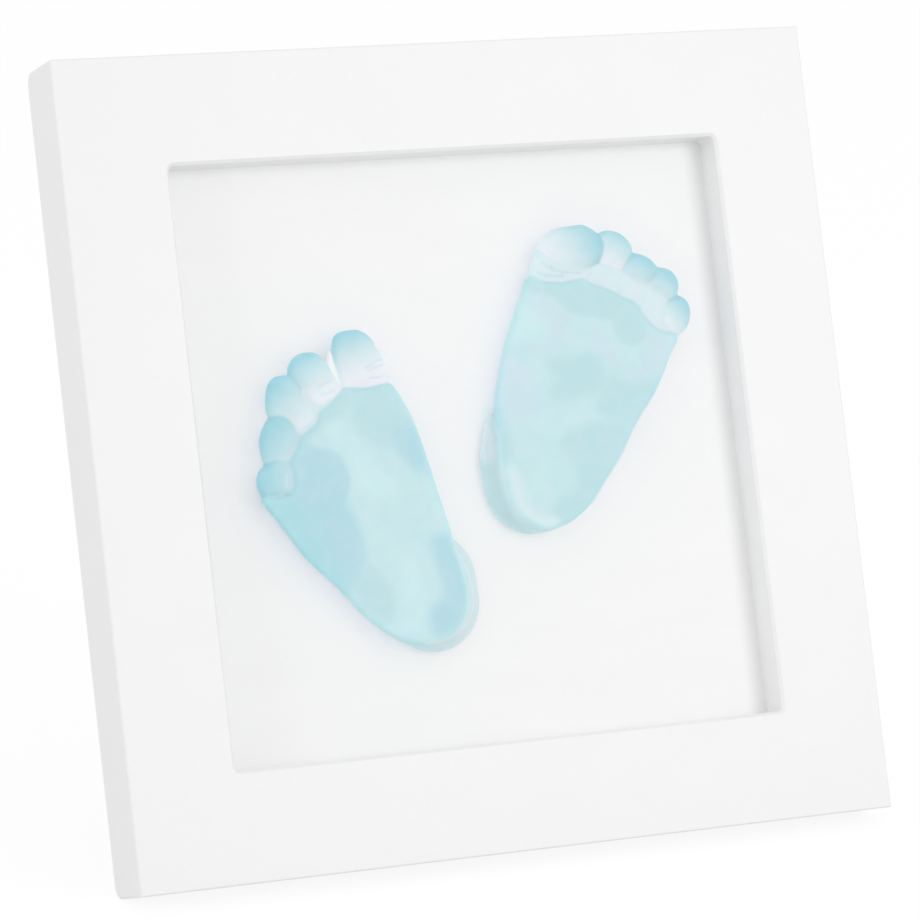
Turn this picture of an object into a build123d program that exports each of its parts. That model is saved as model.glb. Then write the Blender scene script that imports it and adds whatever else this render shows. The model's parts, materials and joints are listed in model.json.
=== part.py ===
from build123d import *
import os
from collections import namedtuple
from math import cos, hypot, radians, sin, sqrt

# Square white display frame with the casts of two baby feet in its window, standing on an easel strut.
# The pieces are drawn upright, in millimetres: X to the right, Y from the front face to the back,
# Z up from the bottom edge. The finished assembly is then leaned back and set down on Z = 0.

# Frame panel
FRAME_SIZE = 200.0
FRAME_DEPTH = 19.0
WINDOW_SIZE = 146.0
WINDOW_CORNER = 1.4
WINDOW_EASE = 0.75
EDGE_EASE = 0.4
BACK_ROUND = 3.4
REBATE_LEDGE = 7.0
REBATE_CORNER = 6.0
LEAN = 16.8

# Card and backing board, which share the rebate
CARD_THICKNESS = 4.0
BOARD_THICKNESS = 6.0
BOARD_CLEARANCE = 0.4

# Foot casts: heights above the back of the cast
SOLE_HEIGHT = 6.6
SOLE_WIDEST = 2.0
SOLE_ROUNDING = 3.6
SOLE_UNDERCUT = 0.8
SOLE_STEPS = 4
HEEL_INSET = 2.6
TOE_AXIS_HEIGHT = 1.8
PAD_RADIUS = 5.0
PAD_THICKNESS = 1.0

# Places on the card are X to the right and Z up from the centre of the window.
# A sole is drawn round three circles: the heel and the two balls of the foot.
# A toe tapers from a round base, inside the sole, to a round tip.
Circle_at = namedtuple("Circle_at", "x z radius")
Toe = namedtuple("Toe", "base tip")
Foot = namedtuple("Foot", "heel heel_drift balls toes")

RIGHT_FOOT = Foot(
    heel=Circle_at(-15.0, -36.2, 13.5),
    heel_drift=-3.0,
    balls=[Circle_at(-26.0, 5.8, 10.0), Circle_at(-45.5, -7.7, 9.0)],
    toes=[
        Toe(Circle_at(-27.0, 15.0, 6.6), Circle_at(-28.8, 24.6, 6.3)),
        Toe(Circle_at(-36.5, 12.0, 5.0), Circle_at(-41.0, 21.0, 5.2)),
        Toe(Circle_at(-43.0, 7.5, 4.6), Circle_at(-47.8, 16.0, 5.0)),
        Toe(Circle_at(-47.5, 2.0, 4.6), Circle_at(-50.2, 7.0, 4.9)),
        Toe(Circle_at(-48.5, -5.5, 4.6), Circle_at(-51.8, -3.8, 4.7)),
    ],
)
LEFT_FOOT = Foot(
    heel=Circle_at(15.3, -9.2, 13.3),
    heel_drift=0.2,
    balls=[Circle_at(46.5, 19.3, 9.5), Circle_at(26.0, 29.8, 10.5)],
    toes=[
        Toe(Circle_at(27.0, 44.5, 5.8), Circle_at(36.0, 47.0, 5.6)),
        Toe(Circle_at(38.5, 37.5, 4.4), Circle_at(44.2, 46.4, 4.7)),
        Toe(Circle_at(45.5, 35.0, 4.6), Circle_at(50.3, 40.0, 4.9)),
        Toe(Circle_at(51.5, 29.5, 4.2), Circle_at(56.3, 36.3, 4.4)),
        Toe(Circle_at(55.0, 26.0, 4.2), Circle_at(59.0, 29.5, 4.2)),
    ],
)

# Easel strut
STRUT_THICKNESS = 2.5
STRUT_TOP_WIDTH = 38.0
STRUT_FOOT_WIDTH = 60.0
STRUT_TOP_CORNER = 4.0
STRUT_CLEARANCE = 0.6
STRUT_END_GAP = 0.5
OPEN_ANGLE = 30.0

# Strut hinge
HINGE_HEIGHT = 132.0
HINGE_WIDTH = 30.0
LEAF_LENGTH = 16.0
LEAF_THICKNESS = 0.8
PIN_RADIUS = 1.0
PIN_OVERHANG = 0.5
PIN_PRESS_GAP = 0.02
PIN_RUNNING_GAP = 0.06
MIDDLE_KNUCKLE = 12.4
KNUCKLE_GAP = 0.3
BARREL_GAP = 0.3
STOP_LENGTH = 7.0
STOP_GAP = 0.1

# Straight part of a domed head's edge
HEAD_EDGE_SHARE = 0.35

# Hinge rivets
RIVET_RADIUS = 1.3
RIVET_FIT = 0.05
RIVET_HEAD_RADIUS = 2.4
RIVET_HEAD_HEIGHT = 1.0
RIVET_CLINCH = 0.7
RIVET_SINK_GAP = 0.1
RIVET_SPACING = 20.0
RIVET_FROM_PIN = 10.0

# Turn buttons and their screws
BUTTON_WIDTH = 9.0
BUTTON_THICKNESS = 1.2
BUTTON_REACH = 9.0
BUTTON_GAP = 0.1
BUTTON_EDGE = 0.25
BUTTON_SPACING = 90.0
SCREW_RADIUS = 1.5
SCREW_DEPTH = 10.0
SCREW_FIT = 0.02
SCREW_RUNNING_GAP = 0.1
SCREW_HEAD_RADIUS = 3.0
SCREW_HEAD_HEIGHT = 1.8
SCREW_SLOT_WIDTH = 0.8
SCREW_SLOT_LENGTH = 3.4
SCREW_SLOT_DEPTH = 0.9
PILOT_SPARE = 0.5

# Wall hanger and its nails
HANGER_LENGTH = 44.0
HANGER_WIDTH = 9.0
HANGER_THICKNESS = 0.8
HANGER_RISE = 1.6
HANGER_TAB = 6.0
HANGER_RAMP = 2.0
TOOTH_PITCH = 3.0
TOOTH_DEPTH = 1.8
NAIL_RADIUS = 0.7
NAIL_FIT = 0.03
NAIL_DEPTH = 8.0
NAIL_HEAD_RADIUS = 1.7
NAIL_HEAD_HEIGHT = 0.6

# Sizes that follow from those above
REBATE_SIZE = WINDOW_SIZE + 2 * REBATE_LEDGE
MIDDLE_HEIGHT = FRAME_SIZE / 2
BOARD_FRONT = FRAME_DEPTH - BOARD_THICKNESS
CARD_FRONT = BOARD_FRONT - CARD_THICKNESS
CAST_BACK = CARD_FRONT - PAD_THICKNESS
RAIL_MIDDLE = (FRAME_SIZE + REBATE_SIZE) / 4
KNUCKLE_RADIUS = PIN_RADIUS + LEAF_THICKNESS
FOLDED_HEIGHT = STRUT_CLEARANCE + STRUT_THICKNESS + LEAF_THICKNESS
PIN_LIFT = max(BARREL_GAP + KNUCKLE_RADIUS, FOLDED_HEIGHT - KNUCKLE_RADIUS)
PIN_Y = FRAME_DEPTH + PIN_LIFT
STRUT_LEAF_INSIDE = PIN_Y + KNUCKLE_RADIUS - LEAF_THICKNESS
STRUT_INSIDE = STRUT_LEAF_INSIDE - STRUT_THICKNESS
BUTTON_INSIDE = FRAME_DEPTH + BUTTON_GAP
BUTTON_LENGTH = RAIL_MIDDLE - REBATE_SIZE / 2 + BUTTON_REACH
SCREW_HEAD_INSIDE = BUTTON_INSIDE + BUTTON_THICKNESS + BUTTON_GAP
RIVET_HOLE = RIVET_RADIUS + RIVET_FIT
RIVET_SINK_RADIUS = RIVET_HEAD_RADIUS + RIVET_SINK_GAP
RIVET_SINK = RIVET_CLINCH + RIVET_SINK_GAP
NAIL_X = HANGER_LENGTH / 2 - HANGER_TAB / 2
HANGER_Z = MIDDLE_HEIGHT + RAIL_MIDDLE

# Where the rounded lower back edge touches the table once the frame is leaned back
TABLE_LEVEL = (
    BACK_ROUND * cos(radians(LEAN))
    - (FRAME_DEPTH - BACK_ROUND) * sin(radians(LEAN))
    - BACK_ROUND
)

BUTTON_PLACES = {
    "upper_left": (-1, 1),
    "lower_left": (-1, -1),
    "upper_right": (1, 1),
    "lower_right": (1, -1),
}


def button_pivot(side, level):
    """X and Z of one turn button's screw."""
    return side * RAIL_MIDDLE, MIDDLE_HEIGHT + level * BUTTON_SPACING / 2


def plate(sketch, front, back):
    """Solid between two depths, from a sketch drawn in X and Z."""
    return extrude(Plane.XZ.offset(-front) * sketch, amount=front - back)


def rod(x, z, radius, front, back):
    """Round bar along Y."""
    return plate(Pos(x, z) * Circle(radius), front, back)


def domed_head(x, z, radius, inside, height):
    """Low domed head that stands on a face at depth inside, towards the back."""
    edge = HEAD_EDGE_SHARE * height
    outline = [
        Polyline((0, height), (0, 0), (radius, 0), (radius, edge)),
        TangentArc((0, height), (radius, edge), tangent=(1, 0)),
    ]
    axes = Plane((x, inside, z), x_dir=(1, 0, 0), z_dir=(0, 0, 1))
    return revolve(axes * make_face(outline), Axis((x, inside, z), (0, 1, 0)))


def rail_square(size, corner):
    """Square round the middle of the frame, with rounded corners."""
    return Pos(0, MIDDLE_HEIGHT) * RectangleRounded(size, size, corner)


def front_frame():
    """One routed panel: eased window in front, rebate behind, pilot holes for screws and nails."""
    panel = plate(Pos(0, MIDDLE_HEIGHT) * Rectangle(FRAME_SIZE, FRAME_SIZE), 0, FRAME_DEPTH)
    panel = fillet(panel.edges().group_by(Axis.Y)[-1].filter_by(Axis.X), BACK_ROUND)
    sides = panel.faces().filter_by(Axis.X)
    panel = fillet(sides.edges() + panel.edges().group_by(Axis.Y)[0].filter_by(Axis.X), EDGE_EASE)
    panel -= plate(rail_square(WINDOW_SIZE, WINDOW_CORNER), 0, FRAME_DEPTH)
    rim = panel.faces().sort_by(Axis.Y)[0].inner_wires()[0].edges()
    panel = chamfer(rim, WINDOW_EASE)
    panel -= plate(rail_square(REBATE_SIZE, REBATE_CORNER), CARD_FRONT, FRAME_DEPTH)
    for side, level in BUTTON_PLACES.values():
        x, z = button_pivot(side, level)
        bottom = FRAME_DEPTH - SCREW_DEPTH - PILOT_SPARE
        panel -= rod(x, z, SCREW_RADIUS + SCREW_FIT, bottom, FRAME_DEPTH)
    for side in (-1, 1):
        bottom = FRAME_DEPTH - NAIL_DEPTH - PILOT_SPARE
        panel -= rod(side * NAIL_X, HANGER_Z, NAIL_RADIUS + NAIL_FIT, bottom, FRAME_DEPTH)
    return panel


def rebate_filler(front, back):
    """Flat piece that fits the rebate with its clearance."""
    size = REBATE_SIZE - 2 * BOARD_CLEARANCE
    return plate(rail_square(size, REBATE_CORNER - BOARD_CLEARANCE), front, back)


def mount_card():
    return rebate_filler(CARD_FRONT, BOARD_FRONT)


def backing_board():
    """Board with the hinge's rivet holes, sunk at the front so that the card lies flat."""
    board = rebate_filler(BOARD_FRONT, FRAME_DEPTH)
    z = HINGE_HEIGHT + RIVET_FROM_PIN
    for x in (-RIVET_SPACING / 2, RIVET_SPACING / 2):
        board -= rod(x, z, RIVET_HOLE, BOARD_FRONT, FRAME_DEPTH)
        board -= rod(x, z, RIVET_SINK_RADIUS, BOARD_FRONT, BOARD_FRONT + RIVET_SINK)
    return board


def belt_outline(circles):
    """Face inside a belt stretched round circles, which are given anticlockwise."""
    normals = []
    for start, end in zip(circles, circles[1:] + circles[:1]):
        span = hypot(end.x - start.x, end.z - start.z)
        along = Vector(end.x - start.x, end.z - start.z) / span
        outward = Vector(along.Y, -along.X)
        tilt = (start.radius - end.radius) / span
        normals.append(along * tilt + outward * sqrt(1 - tilt**2))
    edges = []
    for index, circle in enumerate(circles):
        centre = Vector(circle.x, circle.z)
        arriving = normals[index - 1]
        leaving = normals[index]
        middle = (arriving + leaving).normalized()
        points = [centre + normal * circle.radius for normal in (arriving, middle, leaving)]
        edges.append(ThreePointArc(*points))
    links = [Line(first @ 1, last @ 0) for first, last in zip(edges, edges[1:] + edges[:1])]
    ordered = [edge for pair in zip(edges, links) for edge in pair]
    return make_face(ordered)


def sole_section(foot, height):
    """Outline of the sole at a height above its back, narrower towards the top."""
    if height < SOLE_WIDEST:
        inset = SOLE_UNDERCUT * (1 - height / SOLE_WIDEST)
    else:
        rise = (height - SOLE_WIDEST) / (SOLE_HEIGHT - SOLE_WIDEST)
        inset = SOLE_ROUNDING * (1 - sqrt(1 - rise**2))
    share = height / SOLE_HEIGHT
    heel = Circle_at(
        foot.heel.x + foot.heel_drift * share,
        foot.heel.z,
        foot.heel.radius - HEEL_INSET * share - inset,
    )
    balls = [Circle_at(ball.x, ball.z, ball.radius - inset) for ball in foot.balls]
    return Plane.XZ.offset(height - CAST_BACK) * Pos(0, MIDDLE_HEIGHT) * belt_outline([heel] + balls)


def toe(shape):
    """Tapered toe with round ends, laid along the card."""
    y = CAST_BACK - TOE_AXIS_HEIGHT
    base = Vector(shape.base.x, y, MIDDLE_HEIGHT + shape.base.z)
    tip = Vector(shape.tip.x, y, MIDDLE_HEIGHT + shape.tip.z)
    length = (tip - base).length
    lean = (shape.base.radius - shape.tip.radius) / length
    spread = sqrt(1 - lean**2)
    base_end = (shape.base.radius * lean, shape.base.radius * spread)
    tip_start = (length + shape.tip.radius * lean, shape.tip.radius * spread)
    far_end = (length + shape.tip.radius, 0)
    tip_bend = sqrt(0.5 * (1 + lean))
    tip_middle = (length + shape.tip.radius * tip_bend, shape.tip.radius * sqrt(1 - tip_bend**2))
    base_bend = sqrt(0.5 * (1 - lean))
    base_middle = (-shape.base.radius * base_bend, shape.base.radius * sqrt(1 - base_bend**2))
    outline = [
        ThreePointArc((-shape.base.radius, 0), base_middle, base_end),
        Line(base_end, tip_start),
        ThreePointArc(tip_start, tip_middle, far_end),
        Line(far_end, (-shape.base.radius, 0)),
    ]
    axes = Plane(base, x_dir=tip - base, z_dir=(0, 1, 0))
    return revolve(axes * make_face(outline), Axis(base, tip - base))


def foot_cast(foot):
    """Sole and toes in one solid, flat at the back."""
    rises = [sin(radians(90 * step / SOLE_STEPS)) for step in range(SOLE_STEPS + 1)]
    heights = [0.0] + [SOLE_WIDEST + rise * (SOLE_HEIGHT - SOLE_WIDEST) for rise in rises]
    cast = loft([sole_section(foot, height) for height in heights])
    for shape in foot.toes:
        cast += toe(shape)
    behind = plate(rail_square(WINDOW_SIZE, WINDOW_CORNER), CAST_BACK, CAST_BACK + FRAME_DEPTH)
    return cast - behind


def foot_pads(foot):
    """Round foam pads between the cast and the card, one behind each circle of the sole."""
    places = [foot.heel] + foot.balls
    return [rod(spot.x, MIDDLE_HEIGHT + spot.z, PAD_RADIUS, CAST_BACK, CARD_FRONT) for spot in places]


def along_pin(radius, left, right):
    """Round bar on the hinge's axis."""
    bar = Cylinder(radius, right - left, align=(Align.CENTER, Align.CENTER, Align.MIN))
    return Pos(left, PIN_Y, HINGE_HEIGHT) * Rot(Y=90) * bar


def block(x_range, y_range, z_range):
    """Box between three pairs of coordinates."""
    size = [high - low for low, high in (x_range, y_range, z_range)]
    corner = [low for low, high in (x_range, y_range, z_range)]
    return Pos(*corner) * Box(*size, align=Align.MIN)


def opened(shape):
    """Turns a piece drawn on the folded strut to its open place."""
    pin = Pos(0, PIN_Y, HINGE_HEIGHT)
    return pin * Rot(X=OPEN_ANGLE) * pin.inverse() * shape


def hinge_board_leaf():
    """Leaf on the board: flat plate with a knuckle rolled up at each side."""
    half = HINGE_WIDTH / 2
    middle = MIDDLE_KNUCKLE / 2 + KNUCKLE_GAP
    top = FRAME_DEPTH + LEAF_THICKNESS
    notch_end = HINGE_HEIGHT + KNUCKLE_RADIUS + BARREL_GAP
    leaf = block((-half, half), (FRAME_DEPTH, top), (HINGE_HEIGHT, HINGE_HEIGHT + LEAF_LENGTH))
    leaf -= block((-middle, middle), (FRAME_DEPTH, top), (HINGE_HEIGHT, notch_end))
    for left, right in ((-half, -middle), (middle, half)):
        leaf += along_pin(KNUCKLE_RADIUS, left, right)
        roll = (HINGE_HEIGHT + PIN_RADIUS, HINGE_HEIGHT + KNUCKLE_RADIUS)
        leaf += block((left, right), (FRAME_DEPTH, PIN_Y), roll)
    leaf -= along_pin(PIN_RADIUS + PIN_PRESS_GAP, -half, half)
    for x in (-RIVET_SPACING / 2, RIVET_SPACING / 2):
        leaf -= rod(x, HINGE_HEIGHT + RIVET_FROM_PIN, RIVET_HOLE, FRAME_DEPTH, top)
    return leaf


def hinge_strut_leaf():
    """Leaf on the strut: flat plate, middle knuckle and the tongue that stops the strut when open."""
    half = HINGE_WIDTH / 2
    middle = MIDDLE_KNUCKLE / 2
    outside = PIN_Y + KNUCKLE_RADIUS
    free_top = HINGE_HEIGHT - KNUCKLE_RADIUS - BARREL_GAP
    leaf = block((-half, half), (STRUT_LEAF_INSIDE, outside), (HINGE_HEIGHT - LEAF_LENGTH, free_top))
    leaf += block((-middle, middle), (STRUT_LEAF_INSIDE, outside), (free_top, HINGE_HEIGHT))
    leaf += along_pin(KNUCKLE_RADIUS, -middle, middle)
    for x in (-RIVET_SPACING / 2, RIVET_SPACING / 2):
        leaf -= rod(x, HINGE_HEIGHT - RIVET_FROM_PIN, RIVET_HOLE, STRUT_LEAF_INSIDE, outside)
    leaf = opened(leaf)
    tongue_inside = FRAME_DEPTH + LEAF_THICKNESS + STOP_GAP
    tongue_outside = tongue_inside + LEAF_THICKNESS
    roll = (HINGE_HEIGHT + PIN_RADIUS, HINGE_HEIGHT + KNUCKLE_RADIUS)
    reach = (HINGE_HEIGHT + PIN_RADIUS, HINGE_HEIGHT + STOP_LENGTH)
    leaf += block((-middle, middle), (tongue_inside, PIN_Y), roll)
    leaf += block((-middle, middle), (tongue_inside, tongue_outside), reach)
    return leaf - along_pin(PIN_RADIUS + PIN_RUNNING_GAP, -middle, middle)


def hinge_pin():
    end = HINGE_WIDTH / 2 + PIN_OVERHANG
    pin = along_pin(PIN_RADIUS, -end, end)
    return chamfer(pin.edges().filter_by(GeomType.CIRCLE), PIN_OVERHANG / 2)


def rivet(x, z, clinch_inside, head_inside):
    """Rivet with a clinched end at the front and a domed head at the back."""
    body = rod(x, z, RIVET_RADIUS, clinch_inside, head_inside)
    body += rod(x, z, RIVET_HEAD_RADIUS, clinch_inside, clinch_inside + RIVET_CLINCH)
    return body + domed_head(x, z, RIVET_HEAD_RADIUS, head_inside, RIVET_HEAD_HEIGHT)


def hinge_board_rivets():
    z = HINGE_HEIGHT + RIVET_FROM_PIN
    clinch = BOARD_FRONT + RIVET_SINK_GAP
    head = FRAME_DEPTH + LEAF_THICKNESS
    return [rivet(x, z, clinch, head) for x in (-RIVET_SPACING / 2, RIVET_SPACING / 2)]


def hinge_strut_rivets():
    z = HINGE_HEIGHT - RIVET_FROM_PIN
    clinch = STRUT_INSIDE + RIVET_SINK_GAP
    head = PIN_Y + KNUCKLE_RADIUS
    return [opened(rivet(x, z, clinch, head)) for x in (-RIVET_SPACING / 2, RIVET_SPACING / 2)]


def above_table():
    """Large block over the table, in the upright axes."""
    reach = 4 * FRAME_SIZE
    over = Pos(0, 0, TABLE_LEVEL) * Box(reach, reach, reach, align=(Align.CENTER, Align.CENTER, Align.MIN))
    return Rot(X=LEAN) * over


def strut_leg():
    """Tapered board, opened out and cut level where it stands on the table."""
    top = HINGE_HEIGHT - KNUCKLE_RADIUS - STRUT_END_GAP
    slope = (STRUT_FOOT_WIDTH - STRUT_TOP_WIDTH) / 2 / top
    below = top - 2 * HINGE_HEIGHT
    low_half = STRUT_FOOT_WIDTH / 2 - slope * below
    high_half = STRUT_TOP_WIDTH / 2
    outline = make_face(
        Polyline((-high_half, top), (-low_half, below), (low_half, below), (high_half, top), close=True)
    )
    outline = fillet(outline.vertices().group_by(Axis.Y)[-1], STRUT_TOP_CORNER)
    leg = plate(outline, STRUT_INSIDE, STRUT_LEAF_INSIDE)
    z = HINGE_HEIGHT - RIVET_FROM_PIN
    for x in (-RIVET_SPACING / 2, RIVET_SPACING / 2):
        leg -= rod(x, z, RIVET_HOLE, STRUT_INSIDE, STRUT_LEAF_INSIDE)
        leg -= rod(x, z, RIVET_SINK_RADIUS, STRUT_INSIDE, STRUT_INSIDE + RIVET_SINK)
    return opened(leg) & above_table()


def turn_button(side, level):
    """Round-ended strip that reaches from its screw over the edge of the backing board."""
    x, z = button_pivot(side, level)
    strip = Pos(x - side * BUTTON_LENGTH / 2, z) * SlotCenterToCenter(BUTTON_LENGTH, BUTTON_WIDTH)
    button = plate(strip, BUTTON_INSIDE, BUTTON_INSIDE + BUTTON_THICKNESS)
    button = fillet(button.edges().group_by(Axis.Y)[-1], BUTTON_EDGE)
    hole = rod(x, z, SCREW_RADIUS + SCREW_RUNNING_GAP, BUTTON_INSIDE, BUTTON_INSIDE + BUTTON_THICKNESS)
    return button - hole


def turn_button_screw(side, level):
    """Pan-headed screw with a cross recess."""
    x, z = button_pivot(side, level)
    screw = rod(x, z, SCREW_RADIUS, FRAME_DEPTH - SCREW_DEPTH, SCREW_HEAD_INSIDE)
    screw += domed_head(x, z, SCREW_HEAD_RADIUS, SCREW_HEAD_INSIDE, SCREW_HEAD_HEIGHT)
    top = SCREW_HEAD_INSIDE + SCREW_HEAD_HEIGHT
    for width, height in ((SCREW_SLOT_LENGTH, SCREW_SLOT_WIDTH), (SCREW_SLOT_WIDTH, SCREW_SLOT_LENGTH)):
        screw -= plate(Pos(x, z) * Rectangle(width, height), top - SCREW_SLOT_DEPTH, top)
    return screw


def turn_button_screws():
    return [turn_button_screw(side, level) for side, level in BUTTON_PLACES.values()]


def sawtooth_hanger():
    """Bent strip with nailed ends, raised in the middle, with teeth along its lower edge."""
    end = HANGER_LENGTH / 2
    ramp_foot = end - HANGER_TAB
    ramp_top = ramp_foot - HANGER_RAMP
    bend = [(end, 0), (ramp_foot, 0), (ramp_top, HANGER_RISE)]
    inner = bend + [(-x, y) for x, y in reversed(bend)]
    outer = [(x, y + HANGER_THICKNESS) for x, y in reversed(inner)]
    low = HANGER_Z - HANGER_WIDTH / 2
    section = Pos(0, FRAME_DEPTH, low) * make_face(Polyline(*inner, *outer, close=True))
    strip = extrude(section, amount=HANGER_WIDTH)
    count = int(2 * ramp_top / TOOTH_PITCH)
    tooth = make_face(Polyline((-TOOTH_PITCH / 2, 0), (TOOTH_PITCH / 2, 0), (0, TOOTH_DEPTH), close=True))
    for index in range(count):
        x = (index - (count - 1) / 2) * TOOTH_PITCH
        strip -= plate(Pos(x, low) * tooth, FRAME_DEPTH, FRAME_DEPTH + HANGER_RISE + HANGER_THICKNESS)
    for x in (-NAIL_X, NAIL_X):
        strip -= rod(x, HANGER_Z, NAIL_RADIUS + NAIL_FIT, FRAME_DEPTH, FRAME_DEPTH + HANGER_THICKNESS)
    return strip


def hanger_nails():
    nails = []
    head = FRAME_DEPTH + HANGER_THICKNESS
    for x in (-NAIL_X, NAIL_X):
        nail = rod(x, HANGER_Z, NAIL_RADIUS, FRAME_DEPTH - NAIL_DEPTH, head)
        nails.append(nail + domed_head(x, HANGER_Z, NAIL_HEAD_RADIUS, head, NAIL_HEAD_HEIGHT))
    return nails


def upright_pieces():
    """Every piece by name, in the upright axes. A group of like pieces is a list of solids."""
    pieces = {
        "front_frame": front_frame(),
        "mount_card": mount_card(),
        "backing_board": backing_board(),
        "right_foot_cast": foot_cast(RIGHT_FOOT),
        "left_foot_cast": foot_cast(LEFT_FOOT),
        "right_foot_pads": foot_pads(RIGHT_FOOT),
        "left_foot_pads": foot_pads(LEFT_FOOT),
        "hinge_board_leaf": hinge_board_leaf(),
        "hinge_strut_leaf": hinge_strut_leaf(),
        "hinge_pin": hinge_pin(),
        "hinge_board_rivets": hinge_board_rivets(),
        "hinge_strut_rivets": hinge_strut_rivets(),
        "strut_leg": strut_leg(),
        "turn_button_screws": turn_button_screws(),
        "sawtooth_hanger": sawtooth_hanger(),
        "hanger_nails": hanger_nails(),
    }
    for name, (side, level) in BUTTON_PLACES.items():
        pieces["turn_button_" + name] = turn_button(side, level)
    for name, piece in pieces.items():
        if isinstance(piece, list):
            pieces[name] = Compound(piece)
    return pieces


def standing_place(pieces):
    """Leans the frame back and centres its box over the origin, on Z = 0."""
    lean = Rot(X=-LEAN)
    box = Compound([lean * piece for piece in pieces.values()]).bounding_box()
    middle = box.center()
    return Pos(-middle.X, -middle.Y, -TABLE_LEVEL) * lean


def main():
    pieces = upright_pieces()
    place = standing_place(pieces)
    os.makedirs("parts", exist_ok=True)
    for name, piece in pieces.items():
        export_step(place * piece, f"parts/{name}.step")


if __name__ == "__main__":
    main()
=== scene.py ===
import json
import math
from collections import namedtuple

import bpy
import numpy as np
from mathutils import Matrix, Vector


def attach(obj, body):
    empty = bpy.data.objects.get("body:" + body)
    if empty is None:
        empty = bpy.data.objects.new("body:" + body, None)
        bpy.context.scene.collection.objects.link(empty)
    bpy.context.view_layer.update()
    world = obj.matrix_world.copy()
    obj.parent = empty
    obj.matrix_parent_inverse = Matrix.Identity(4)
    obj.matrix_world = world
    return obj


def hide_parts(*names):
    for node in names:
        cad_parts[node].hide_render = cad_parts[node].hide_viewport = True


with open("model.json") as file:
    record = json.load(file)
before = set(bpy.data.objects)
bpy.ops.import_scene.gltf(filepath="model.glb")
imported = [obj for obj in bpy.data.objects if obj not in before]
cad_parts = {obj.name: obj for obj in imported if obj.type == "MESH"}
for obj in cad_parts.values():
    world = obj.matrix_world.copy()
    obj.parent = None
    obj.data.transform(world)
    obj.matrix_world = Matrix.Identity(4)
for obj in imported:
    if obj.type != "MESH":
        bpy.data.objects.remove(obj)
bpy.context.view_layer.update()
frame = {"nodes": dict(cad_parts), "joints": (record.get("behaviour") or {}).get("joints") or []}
MM = 0.001

# The leaning face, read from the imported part: its axes, the middle of its front and of the card
BUTTON_AXIS = next(j["axis"] for j in frame["joints"] if j["name"] == "upper_left_button_turn")
RIGHT = Vector((1, 0, 0))
BACK = Vector(BUTTON_AXIS).normalized()
UP = RIGHT.cross(BACK)


def reach(node, direction):
    """How far a node's solid reaches along a direction, lowest and highest."""
    levels = [vertex.co.dot(direction) for vertex in frame["nodes"][node].data.vertices]
    return min(levels), max(levels)


def front_middle(node):
    """The point at the middle of a node's front, on the leaning face."""
    low, high = reach(node, UP)
    return UP * ((low + high) / 2) + BACK * reach(node, BACK)[0]


FACE_MIDDLE = front_middle("front_frame")
CARD_MIDDLE = front_middle("mount_card")
CAST_LIFT = (reach("mount_card", BACK)[0] - reach("right_foot_cast", BACK)[1]) / MM


# The shapes of the two casts, in millimetres from the middle of the card: x right, z up the face,
# and rise off the flat back of the cast
Spot = namedtuple("Spot", "x z radius")
Toe = namedtuple("Toe", "root tip whiteness outline")
Neck = namedtuple("Neck", "rise tint outline")
Swell = namedtuple("Swell", "x z radius rise")
Patch = namedtuple("Patch", "tint blur outline")
Foot = namedtuple("Foot", [
    "name", "outline", "heel_skirt", "skirt_tint", "skirt_patches", "toes", "necks", "swells", "creases",
    "light_lines", "patches",
])

SOLE_RISE = 5.4
SOLE_EDGE_ROUND = 1.2
LEAN_IN = 0.6
LEAN_TOP = 3.2
SKIRT_LOW = 1.2
SKIRT_LEAN = 1.0
SKIRT_BLEND = 1.2
NECK_RISE = 5.0
WEB_RISE = 4.3
SEAM_RISE = 5.2
TOE_ROOT_RISE = 5.3
TOE_TIP_RISE = 6.3
TOE_GROW = 0.55
SOLE_GROW = 0.35
TOE_CROWN = 0.7
TOE_CROWN_WIDTH = 3.5
TOE_ROUND = 1.5
TOE_BLEND = 0.8
CREASE_DEPTH = 0.25
CREASE_WIDTH = 0.25

# How finely the casts are meshed: the grid, the steps of a curve and the moves on to the surface
CAST_STEP = 0.4
CURVE_STEPS = 10
INSIDE_GRID = 1.001
PROBE_STEP = 0.05
LEAST_SLOPE = 0.2
LONGEST_MOVE = 0.4
TINY = 1e-12

# Tints of the resin, as screen levels
SOLE_TINT = (206, 233, 236)
DEEP_TINT = (183, 224, 230)
BLUE_TINT = (188, 223, 231)
TEAL_TINT = (197, 227, 231)
LAVENDER_TINT = (210, 230, 237)
PALE_TINT = (210, 236, 239)
NECK_TINT = (221, 236, 240)
# The milky tint is the resin's own cloud and also the colour of the painted highlights
MILKY_TINT = (230, 240, 245)
# Painted shade in the creases
CREASE_SHADE_TINT = (188, 216, 224)
# Painted light: the hidden walls under the casts are pale lavender, so the light they bounce tints the
# card's shade lavender, standing in for light through the resin
PAINTED_BOUNCE_TINT = (222, 229, 241)
# Painted light: near white where two toes face each other and on the low web between the first two toes,
# lightening the shade in the narrow gaps
PAINTED_GAP_LIGHT_TINT = (250, 251, 252)
LIGHT_SKIRT_TINT = (221, 231, 236)
TOE_TINTS = [
    (0.0, (237, 241, 248)), (0.3, (224, 236, 240)), (0.6, (204, 229, 234)), (0.95, (167, 216, 226)),
]

# How far the paint spreads, in millimetres, and how strong it is, from 0 to 1
CRISP = 0.9
SOFT = 2.0
SEAM_BLUR = 0.35
# Deeper band along the sole's edge: partly the resin's deeper colour there, partly painted shade darkening
# the rounded edge
DEEP_EDGE_AND_SHADE_STRENGTH = 0.4
DEEP_EDGE_AND_SHADE_INSET = 0.4
DEEP_EDGE_AND_SHADE_WIDTH = 0.9
SKIRT_FADE = (0.2, 1.2)
# Painted highlight: a milky line along the heel's rim, where the skirt meets the sole
HEEL_HIGHLIGHT_STRENGTH = 0.45
HEEL_HIGHLIGHT_WIDTH = 0.5
HEEL_HIGHLIGHT_FADE = (2.0, 0.8)
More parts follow.
